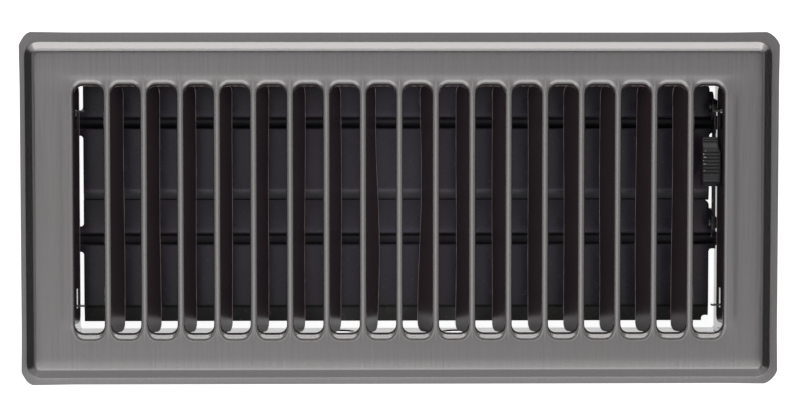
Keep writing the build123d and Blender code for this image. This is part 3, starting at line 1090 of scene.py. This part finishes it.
        # Painted highlight on the bars, as a lighter colour where the bars' roll takes over.
        painted_bar_highlight = self.bar_shine * mixed[self.bar_roll] ** self.shine_power
        finish = self.roll_finish(normals, turn, start, painted_bar_highlight)
        root = roll_points[-2, hinge > 0.5] - np.array([0.0, self.row_y, 0.0])
        upper = np.flatnonzero(normals[:, 1] > self.slot_burr_from)
        radius = self.burr_radius(outline[upper, 0], index, self.slot_burr_wave)
        self.burrs.append(bead(roll_points[-1, upper], radius, np.array(self.slot_burr_across)))
        return [
            grid_surface(roll_points, finish, closed=True, flip=True),
            self.cell_patch(middle, last, rim, painted_bar_highlight, shares),
            self.tongue_patch(index, root, lean, side, last),
        ]

    def roll_finish(self, normals: Array, turn: Array, start: Array, painted_bar_highlight: Array) -> Array:
        """Finish of a rolled edge: a painted highlight on the bars and slot ends, turning to paint where it
        goes under.

        Args:
            normals: Outward normals of the slot's outline.
            turn: Tilt of the section at each step and point.
            start: Tilt at its start, at each point.
            painted_bar_highlight: Painted highlight of the bars at each point.

        Returns:
            Finish value at each step and point, with a last row for the leg.
        """
        high = smooth(normals[:, 1], *self.high_limits)
        # The high ends turn to dark paint sooner: painted shade on their steep part.
        limits = zip(self.paint_turns, self.high_shade_turns)
        none, full = (np.radians(low + (top - low) * high) for low, top in limits)
        fade = smooth(np.concatenate([turn, turn[-1:] + self.leg_tilt]), none, full)
        # Painted highlight on the slot ends, stronger on the low ends than on the high ends.
        end_shine = np.where(normals[:, 1] < 0.0, self.low_end_shine, self.high_end_shine)
        bent = np.concatenate([turn, turn[-1:]]) - start
        return fade * plating(np.maximum(painted_bar_highlight, end_shine * smooth(bent, 0.0, np.radians(self.shine_turn))))

    def cell_patch(
        self, middle: Array, last: bool, rim: Array, painted_bar_highlight: Array, shares: tuple[Array, Array]
    ) -> Surface:
        """Field around one slot, ruled from the edge of its roll to the rectangle of its cell.

        Args:
            middle: Middle of the slot.
            last: Whether it is the outermost slot of its half.
            rim: Edge of its roll, from the middle.
            painted_bar_highlight: Painted highlight of the bars at each point of the rim.
            shares: Places along the slot's short and long sides.

        Returns:
            The patch.
        """
        ends = np.array([-self.pitch / 2, self.pitch / 2])
        if last:
            ends[int(middle[0] > 0.0)] = np.sign(middle[0]) * self.cell_end() - middle[0]
        half = ((ends[1] - ends[0]) / 2, self.cell_half_width())
        box, _ = rounded_loop(half, 0.0, *shares, self.corner_steps)
        box[:, 0] += ends.mean()
        flat = ruled(rim, box, np.array(self.cell_rows))
        # The bars' painted highlight reaches into the field and fades out towards the cell's ends.
        near_end = smooth(np.abs(flat[..., 1]), half[1], half[1] - self.shine_fade)
        near_end[0] = 1.0
        return grid_surface(self.raised(flat + middle), plating(painted_bar_highlight * near_end), closed=True)

    def tongue_patch(self, index: int, root: Array, lean: float, side: Side, last: bool) -> Surface:
        """Fin or end flange: a flat tongue going down from the roll, its free corners rounded.

        A point lies v down the lean from its root; its Y is the root's Y, moved near the ends so that
        the last point follows the rounded outline at that v.

        Args:
            index: Number of the slot.
            root: Points where the tongue starts, in order along Y.
            lean: Angle from upright, in radians.
            side: The half of the face that the slot is in.
            last: Whether it is an end flange.

        Returns:
            The tongue's outer skin.
        """
        length, rows = self.fin_length, np.array([self.window_start, self.window_stop])
        span = np.full(len(root), self.fin_half_span)
        if last:
            length = self.flange_length
            span = np.where(root[:, 1] > 0.0, self.flange_upper_span, self.flange_half_span)
        else:
            rows = np.linspace(self.flat_margins[0], length - self.flat_margins[1], self.fin_rows)
        corner = np.sin(np.linspace(0.0, np.pi / 2, self.fin_corner_steps + 1)) * self.fin_corner
        v = np.unique(np.concatenate([self.root_stops, rows, corner + length - self.fin_corner]))
        past = np.clip(v - (length - self.fin_corner), 0.0, self.fin_corner)
        limit = span - self.fin_corner + np.sqrt(self.fin_corner**2 - past**2)[:, None]
        root_half = np.abs(root[:, 1]).max()
        shift = smooth(v, *self.shift_limits)[:, None] * (limit - root_half)
        near_end = smooth(np.abs(root[:, 1]) / root_half, self.shift_from, 1.0) * np.sign(root[:, 1])
        y = root[None, :, 1] + shift * near_end
        down = np.array([-side.value * np.sin(lean), -np.cos(lean)])
        off = np.array([-side.value * np.cos(lean), np.sin(lean)])
        bow = self.fin_bow(index, v[:, None] / length, y)
        points = np.empty((len(v), len(root), 3))
        points[..., 0] = root[None, :, 0] + v[:, None] * down[0] + bow * off[0]
        points[..., 1] = y + self.row_y
        points[..., 2] = root[None, :, 2] + v[:, None] * down[1] + bow * off[1]
        free = np.flatnonzero(v > self.free_from)[:-1]
        path = np.concatenate([points[free, 0], points[-1], points[free[::-1], -1]])
        radius = self.burr_radius(path[:, 1], index, self.fin_burr_wave)
        self.burrs.append(bead(path, radius, np.array([off[0], 0.0, off[1]])))
        surface = grid_surface(points, 0.0)
        if last:
            middle = surface.points[surface.quads].mean(axis=1)
            depth = (root[0, 2] - middle[:, 2]) / np.cos(lean)
            place = np.abs(middle[:, 1] - self.row_y)
            inside = (place > self.window_near) & (place < self.window_far)
            inside &= (depth > self.window_start) & (depth < self.window_stop)
            surface.quads = surface.quads[~inside]
        return surface

    def fin_bow(self, index: int, down: Array, y: Array) -> Array:
        """Unevenness of a fin's free edge: slow waves along Y that grow towards the edge.

        Args:
            index: Number of the slot.
            down: Share of the way from root to free edge.
            y: Places along the fin.

        Returns:
            Distance off the flat of the fin, the sum of weight·cos(y / length + slot·phase) over the waves.
        """
        if self.is_last(index):
            return np.zeros_like(y)
        middle = index in (self.slot_count // 2 - 1, self.slot_count // 2)
        size = self.middle_bow if middle else self.bow
        wave = sum(np.cos(y / length + index * phase) * weight for length, phase, weight in self.bow_waves)
        return size * wave * down**self.bow_power

    def frame_patches(self) -> list[Surface]:
        """Field outside the slots, then step and lip as outlines carried outwards to the edge of the face.

        Each outline is settled on the blank and follows the brink's fall; the lip's left side is trimmed
        and the step's far slope gets a painted highlight.

        Returns:
            The two patches.
        """
        ends = self.cell_end()
        inner_lines = (np.arange(1, self.slot_count) - self.slot_count / 2) * self.pitch
        lines = np.concatenate([[-ends], inner_lines, [ends]])
        share = np.linspace(0.0, 1.0, self.end_steps + 1)[:-1]
        xs = (lines[:-1, None] + share * np.diff(lines)[:, None]).reshape(-1)
        shares = (np.append(xs, ends) / ends, self.side_shares())
        inner, _ = rounded_loop((ends, self.cell_half_width()), 0.0, *shares, self.corner_steps)
        inner[:, 1] += self.row_y
        edge = self.lip + self.step_run
        size = np.array([self.half_length, self.half_width])
        half = self.field_half()
        out, drop = self.step_section()
        brink, _ = rounded_loop(half + out[0], self.field_corner_radius, *shares, self.corner_steps)
        even = np.linspace(0.0, 1.0, self.field_rows + 1) ** self.field_power
        rows = np.union1d(np.linspace(0.0, self.dip_share, self.dip_rows + 1), even)
        flat = ruled(inner, self.settle(brink, 1.0), rows)
        corner_radii = [self.field_corner_radius, self.foot_corner_radius, self.corner_radius]
        rings, shines = [], []
        for ring_out, ring_drop in zip(out, drop):
            past = max(ring_out - self.step_run, 0.0) / self.lip
            radius = np.interp(ring_out, [0.0, self.step_run, edge], corner_radii)
            ring, normals = rounded_loop(
                half + ring_out, radius, *shares, self.corner_steps, self.corner_cut * past
            )
            draw = self.side_draw * max(ring_out, 0.0) / edge
            ring = ring - normals * draw * smooth((size - np.abs(ring))[:, ::-1], *self.draw_limits)
            ring = self.settle(ring, 1.0 - past)
            keep = 1.0 - smooth(ring_out, 0.0, self.step_run)
            fall = self.brink(ring[:, 0], ring[:, 1]) * keep + self.lip_droop * past
            ring[:, 0] += self.left_trim * past * smooth(-normals[:, 0], *self.trim_limits)
            rings.append(np.column_stack([ring, self.top - ring_drop - fall]))
            on_slope = smooth(ring_out, *self.crest_limits)
            on_slope *= smooth(ring_out, self.step_run + self.foot_margin, self.step_run - self.foot_margin)
            # Painted highlight on the step's slope, on its +Y side only.
            shines.append(self.step_shine * on_slope * smooth(normals[:, 1], *self.step_shine_limits))
        return [
            grid_surface(self.raised(flat), PLAIN_FINISH, closed=True),
            grid_surface(np.stack(rings), plating(np.stack(shines)), closed=True),
        ]

    def step_section(self) -> tuple[Array, Array]:
        """Section from the brink of the field to the edge of the lip: a crest arc, a slope and a foot arc.

        Returns:
            Distance outwards from the field's edge, and drop below the field, at each place.
        """
        rise = self.top - self.sheet
        slope = np.arctan2(rise, self.step_run)
        crest_start = -self.crest_radius * np.tan(slope / 2)
        foot_end = self.step_run + self.foot_radius * np.tan(slope / 2)
        angle = np.linspace(0.0, slope, self.arc_steps + 1)
        crest_out = crest_start + self.crest_radius * np.sin(angle)
        crest_drop = self.crest_radius * (1.0 - np.cos(angle))
        foot_out = foot_end - self.foot_radius * np.sin(angle[::-1])
        foot_drop = rise - self.foot_radius * (1.0 - np.cos(angle[::-1]))
        lip_out = self.lip + self.step_run - np.array(self.lip_stops)
        out = np.concatenate([crest_out, foot_out, lip_out])
        drop = np.concatenate([crest_drop, foot_drop, np.full_like(lip_out, rise)])
        return out, drop

    def build(self) -> bpy.types.Object:
        """Builds the face as one welded sheet that stands for the CAD face plate.

        Returns:
            The sheet.
        """
        patches = self.frame_patches()
        for index in range(self.slot_count):
            patches += self.slot_patches(index)
        piece = make_piece("face_sheet", join(patches), Body.FRAME)
        thicken(piece, self.sheet, self.broken_edge, inner_slot=1, edge_slot=2)
        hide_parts("face_plate")
        return piece

    def build_burrs(self) -> bpy.types.Object:
        """Builds the bright burrs on the cut edges of the fins and slots, gathered while the face was built.

        Returns:
            The burrs, as one object.
        """
        piece = make_piece("edge_burrs", join(self.burrs), Body.FRAME, solid=True)
        return piece


# Thumb knob


@dataclass(frozen=True)
class Grooves:
    """A row of V-shaped grooves, each falling and rising in a straight line between two flat lands.

    Attributes:
        first: Middle of the first land, from the toe.
        pitch: Distance between the middles of two lands.
        count: Number of grooves.
        land: Width of a land.
        depth: Depth of a groove.
    """

    first: float
    pitch: float
    count: int
    land: float
    depth: float

    def cut(self, along: Array) -> tuple[Array, Array]:
        """Share of the grooves' depth at distances from the toe, and the share of the lands between them."""
        place = (along - self.first) / self.pitch
        inside = (place > 0.0) & (place < self.count)
        apart = np.abs(place - np.round(place)) * self.pitch
        cut = np.clip((apart - self.land / 2) / ((self.pitch - self.land) / 2), 0.0, 1.0) * inside
        return cut, (1.0 - cut) * inside


@dataclass
class ThumbKnob:
    """Moulded thumb knob: a boxy loft along Y with V grooves across its crown and finer ones at its heel.

    Lengths are in millimetres; limits along the knob are distances from its toe.
    """

    middle_x: float = 119.205
    half_width: float = 3.2
    widen: float = 0.85
    widen_margins: Pair = (3.6, 6.0)
    low_y: float = 8.36
    high_y: float = 27.36
    bottom: float = -4.4
    toe_top: float = -1.6
    toe_limits: Pair = (-0.6, 2.6)
    crown: float = 1.5
    saddle_drop: float = 1.1
    saddle_limits: Pair = (14.8, 17.0)
    heel_top: float = -0.2
    heel_past: float = 0.4
    end_round: float = 0.6
    squareness: float = 7.0
    crown_grooves: Grooves = Grooves(4.7, 1.3, 7, 0.45, 0.58)
    heel_grooves: Grooves = Grooves(16.88, 0.77, 3, 0.3, 0.38)
    top_limits: Pair = (0.88, 0.95)
    flank_limits: Pair = (0.97, 0.88)
    chip_land_limits: Pair = (0.55, 0.9)
    chip_side_limits: Pair = (-0.35, -0.75)
    chip_patch_limits: Pair = (0.5, 1.1)
    chip_waves: Triple = (5.1, 9.0, 2.3)
    stations: int = 300
    around: int = 88

    def top_line(self, along: Array) -> Array:
        """Side view of the top: up from the toe to the crown, down the saddle, and falling over the heel.

        Args:
            along: Distances from the toe.

        Returns:
            Height of the top.
        """
        length = self.high_y - self.low_y
        saddle_end = self.saddle_limits[1]
        line = self.toe_top + (self.crown - self.toe_top) * smooth(along, *self.toe_limits)
        line -= self.saddle_drop * smooth(along, *self.saddle_limits)
        heel_fall = self.crown - self.saddle_drop - self.heel_top
        return line - heel_fall * smooth(along, saddle_end, length + self.heel_past)

    def build(self) -> bpy.types.Object:
        """Builds the knob that stands for the CAD knob.

        A point's section angle p gives x = ±half width·|cos p|^(2/n) and z = middle ± half
        height·|sin p|^(2/n), where n is the squareness; the ends shrink along a quarter circle.

        Returns:
            The knob.
        """
        length = self.high_y - self.low_y
        along = length * np.linspace(0.0, 1.0, self.stations)
        cut, lands = self.crown_grooves.cut(along)
        relief = self.crown_grooves.depth * cut + self.heel_grooves.depth * self.heel_grooves.cut(along)[0]
        end = np.minimum(along, length - along) / self.end_round
        shrink = self.end_round * (1.0 - np.sqrt(1.0 - (1.0 - np.clip(end, 0.0, 1.0)) ** 2))
        angle = np.linspace(0.0, 2.0 * np.pi, self.around, endpoint=False) + np.pi / self.around
        side = np.sign(np.cos(angle)) * np.abs(np.cos(angle)) ** (2.0 / self.squareness)
        rise = np.sign(np.sin(angle)) * np.abs(np.sin(angle)) ** (2.0 / self.squareness)
        half_height = (self.top_line(along) - shrink - self.bottom) / 2
        near, far = (length - margin for margin in self.widen_margins)
        wide = self.widen * smooth(along, near, far)[:, None] * (1.0 + rise) / 2 * (side > 0.0)
        on_top = smooth(rise, *self.top_limits) * smooth(np.abs(side), *self.flank_limits)
        points = np.empty((self.stations, self.around, 3))
        points[..., 0] = self.middle_x + side * ((self.half_width - shrink)[:, None] + wide)
        points[..., 1] = (self.low_y + along)[:, None]
        points[..., 2] = self.bottom + half_height[:, None] * (1.0 + rise) - relief[:, None] * on_top
        by_length, by_side, skew = self.chip_waves
        patchy = np.sin(along * by_length)[:, None] + np.sin(side * by_side + along[:, None] * skew)
        chips = smooth(lands, *self.chip_land_limits)[:, None] * smooth(side, *self.chip_side_limits)
        chips = chips * on_top * smooth(patchy, *self.chip_patch_limits)
        caps = np.repeat(points[[0, -1]].mean(axis=1, keepdims=True), self.around, axis=1)
        closed = np.concatenate([caps[:1], points, caps[1:]])
        surface = grid_surface(closed, np.pad(chips, ((1, 1), (0, 0))), closed=True)
        piece = make_piece("ribbed_knob", surface, Body.LINK, solid=True)
        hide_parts("thumb_knob")
        return piece


# Studio


@dataclass
class Panel:
    """A soft studio panel that lights the object.

    Attributes:
        name: Name of the lamp.
        place: Where its middle is, in metres.
        size: Width and height in metres.
        radiance: Brightness of its surface, where 1 is white.
        aim: The point that it faces, in metres.
    """

    name: str
    place: Triple
    size: Pair
    radiance: float
    aim: Triple = (0.0, 0.0, 0.0)

    def build(self) -> None:
        """Builds the lamp; its power is radiance times pi times its area."""
        lamp = bpy.data.lights.new(self.name, "AREA")
        lamp.shape = "RECTANGLE"
        lamp.size, lamp.size_y = self.size
        lamp.energy = self.radiance * np.pi * self.size[0] * self.size[1]
        made = bpy.data.objects.new(self.name, lamp)
        made.location = self.place
        made.rotation_euler = (Vector(self.aim) - Vector(self.place)).to_track_quat("-Z", "Y").to_euler()
        bpy.context.scene.collection.objects.link(made)


@dataclass
class Studio:
    """Floor, light and camera, in metres; the frame's width is that of the picture at the face."""

    floor_z: float = -0.032
    floor_half: float = 6.0
    world: float = 0.02
    camera_place: Triple = (-0.0180, 0.0608, 1.003)
    camera_aim: Triple = (0.0002, 0.0001, 0.0032)
    frame_width: float = 0.3055
    sensor: float = 36.0
    panels: tuple[Panel, ...] = (
        Panel("left_ceiling_panel", (-0.345, -0.10, 1.55), (0.65, 0.84), 0.62, (-0.345, -0.10, 0.0)),
        Panel("right_ceiling_panel", (0.305, -0.10, 1.55), (0.65, 0.84), 0.54, (0.305, -0.10, 0.0)),
        Panel("left_panel", (-0.98, -0.05, 1.08), (1.3, 0.65), 0.31),
        Panel("right_panel", (0.98, -0.05, 1.08), (1.3, 0.65), 0.31),
        Panel("near_upper_panel", (0.0, -0.56, 1.40), (1.5, 0.28), 0.82),
        Panel("near_panel", (0.0, -0.92, 1.18), (1.8, 0.64), 1.24),
        Panel("far_upper_panel", (0.0, 0.80, 0.94), (1.6, 0.54), 1.2),
        Panel("far_panel", (0.0, 1.25, 0.36), (1.8, 0.76), 1.15),
        Panel("front_panel", (0.0, -1.35, 0.50), (1.6, 1.0), 0.50),
    ) + tuple(
        Panel(f"{side}_{end}_corner", (x, y, 0.42), (0.8, 0.7), 0.45)
        for end, y in (("far", 1.0), ("front", -1.0))
        for side, x in (("left", -1.0), ("right", 1.0))
    )

    def build(self) -> None:
        """Builds the floor, world, panels and camera."""
        self.build_floor()
        self.build_world()
        for panel in self.panels:
            panel.build()
        self.build_camera()
        bpy.context.scene.view_settings.view_transform = "Standard"

    def build_floor(self) -> None:
        """Plain floor under the box: a square grid of points at one height."""
        reach = np.linspace(-self.floor_half, self.floor_half, 3)
        x, y = np.meshgrid(reach, reach)
        points = np.stack([x, y, np.full_like(x, self.floor_z)], axis=-1).reshape(-1, 3)
        mesh = bpy.data.meshes.new("floor")
        mesh.from_pydata(points.tolist(), [], grid_quads(3, 3).tolist())
        floor = bpy.data.objects.new("floor", mesh)
        bpy.context.scene.collection.objects.link(floor)
        floor.data.materials.append(FloorFinish().material())

    def build_world(self) -> None:
        """Dim even world."""
        world = bpy.data.worlds.new("studio")
        bpy.context.scene.world = world
        world.use_nodes = True
        world.node_tree.nodes.clear()
        nodes = Nodes(world.node_tree)
        sky = nodes.add("ShaderNodeBackground", {"Strength": self.world})
        nodes.add("ShaderNodeOutputWorld", {"Surface": sky.outputs[0]})

    def build_camera(self) -> None:
        """Camera over the face, its picture's up along +Y, framing the given width at the face."""
        place, aim = Vector(self.camera_place), Vector(self.camera_aim)
        ahead = (aim - place).normalized()
        right = ahead.cross(Vector((0.0, 1.0, 0.0))).normalized()
        turn = Matrix((right, right.cross(ahead), -ahead)).transposed()
        data = bpy.data.cameras.new("photo_camera")
        data.sensor_fit = "HORIZONTAL"
        data.sensor_width = self.sensor
        data.lens = self.sensor * (aim - place).length / self.frame_width
        camera = bpy.data.objects.new("photo_camera", data)
        camera.matrix_world = Matrix.Translation(place) @ turn.to_4x4()
        bpy.context.scene.collection.objects.link(camera)
        bpy.context.scene.camera = camera


# Dressing


@dataclass
class Dresser:
    """Holds every finish and puts them on the pieces and the CAD nodes."""

    effects: Effects
    face: BrushedFinish = BrushedFinish(
        "brushed_pewter",
        metal=colour(0.345, 0.333, 0.336),
        deep=colour(0.300, 0.290, 0.292),
        # Lighter colour painted as a highlight on the bars, slot ends and the step's far slope.
        painted_highlight=colour(0.565, 0.545, 0.538),
        paint=colour(0.054, 0.039, 0.045),
        roughness=(0.20, 0.26),
        line=(0.09, 16.0),
    )
    under: PaintFinish = PaintFinish(
        "dark_underside",
        base=colour(0.052, 0.038, 0.044),
        worn=colour(0.062, 0.048, 0.054),
        roughness=(0.16, 0.26),
        peel=0.08,
        grain=900.0,
        dust=0.25,
    )
    bare: PaintFinish = PaintFinish(
        "bare_edge",
        base=colour(0.30, 0.22, 0.20),
        worn=colour(0.42, 0.34, 0.31),
        roughness=(0.34, 0.46),
        peel=0.05,
        grain=700.0,
        metallic=0.9,
    )
    burr: PaintFinish = PaintFinish(
        "burr_steel",
        base=colour(0.60, 0.45, 0.41),
        worn=colour(0.68, 0.58, 0.55),
        roughness=(0.30, 0.42),
        peel=0.05,
        grain=900.0,
        metallic=1.0,
    )
    box: PaintFinish = PaintFinish(
        "black_box_paint",
        base=colour(0.012, 0.011, 0.013),
        worn=colour(0.018, 0.016, 0.018),
        roughness=(0.14, 0.24),
        peel=0.05,
        grain=900.0,
        dust=0.15,
        coat=0.45,
    )
    upper_blade: PaintFinish = PaintFinish(
        "black_blade_paint",
        base=colour(0.041, 0.031, 0.053),
        worn=colour(0.048, 0.038, 0.060),
        roughness=(0.22, 0.29),
        peel=0.10,
        grain=1100.0,
        dust=0.2,
        # Painted light on the upper blade: painted highlight on the bend, painted shade towards the strip's
        # free edge.
        painted_light=PaintedBladeLight(32.2, ((-30.4, 0.35), (-27.4, 0.8), (-26.3, 2.0), (-25.2, 1.1))),
    )
    lower_blade: PaintFinish = replace(
        upper_blade,
        name="black_lower_blade_paint",
        # Painted light on the lower blade's lap strip: about three times as light and tinted, a painted
        # reflection.
        painted_light=PaintedBladeLight(-13.306, ((-32.6, 2.9), (-27.4, 3.2), (-26.6, 1.0)), tint=(0.88, 1.08, 0.68)),
    )
    link: PaintFinish = PaintFinish(
        "dark_link_steel",
        base=colour(0.10, 0.098, 0.095),
        worn=colour(0.16, 0.155, 0.15),
        roughness=(0.28, 0.42),
        peel=0.10,
        grain=1400.0,
        dust=0.15,
        metallic=0.85,
    )
    knob: PaintFinish = PaintFinish(
        "charcoal_plastic",
        base=colour(0.025, 0.0245, 0.028),
        worn=colour(0.032, 0.0315, 0.035),
        roughness=(0.20, 0.28),
        peel=0.10,
        grain=2600.0,
        dust=0.3,
        chip=colour(0.45, 0.44, 0.43),
    )

    def dress(self, piece: bpy.types.Object, *finishes: BrushedFinish | PaintFinish) -> None:
        """Gives a piece its finishes, one for each material slot.

        Args:
            piece: The piece.
            finishes: The finishes in the order of the slots.
        """
        for finish in finishes:
            piece.data.materials.append(finish.material(self.effects))
            log.info("%s: %s", piece.name, finish.name)

    def dress_nodes(self, nodes: dict[str, bpy.types.Object]) -> None:
        """Puts a finish on each CAD node that stays in view.

        Args:
            nodes: The CAD objects by name.
        """
        link = self.link.material(self.effects)
        finishes = {
            "damper_box": self.box.material(self.effects),
            "upper_blade": self.upper_blade.material(self.effects),
            "lower_blade": self.lower_blade.material(self.effects),
            "damper_link": link,
            "upper_link_rivet": link,
            "lower_link_rivet": link,
        }
        for name, finish in finishes.items():
            nodes[name].data.materials.clear()
            nodes[name].data.materials.append(finish)
            log.info("%s: %s", name, finish.name)


def main() -> None:
    """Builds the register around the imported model, then the studio."""
    logging.basicConfig(level=logging.INFO, format="%(name)s: %(message)s")
    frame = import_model()
    dresser = Dresser(Effects())
    face = FacePlate()
    dresser.dress(face.build(), dresser.face, dresser.under, dresser.bare)
    dresser.dress(face.build_burrs(), dresser.burr)
    dresser.dress(ThumbKnob().build(), dresser.knob)
    dresser.dress_nodes(frame["nodes"])
    Studio().build()


if __name__ == "__main__":
    main()
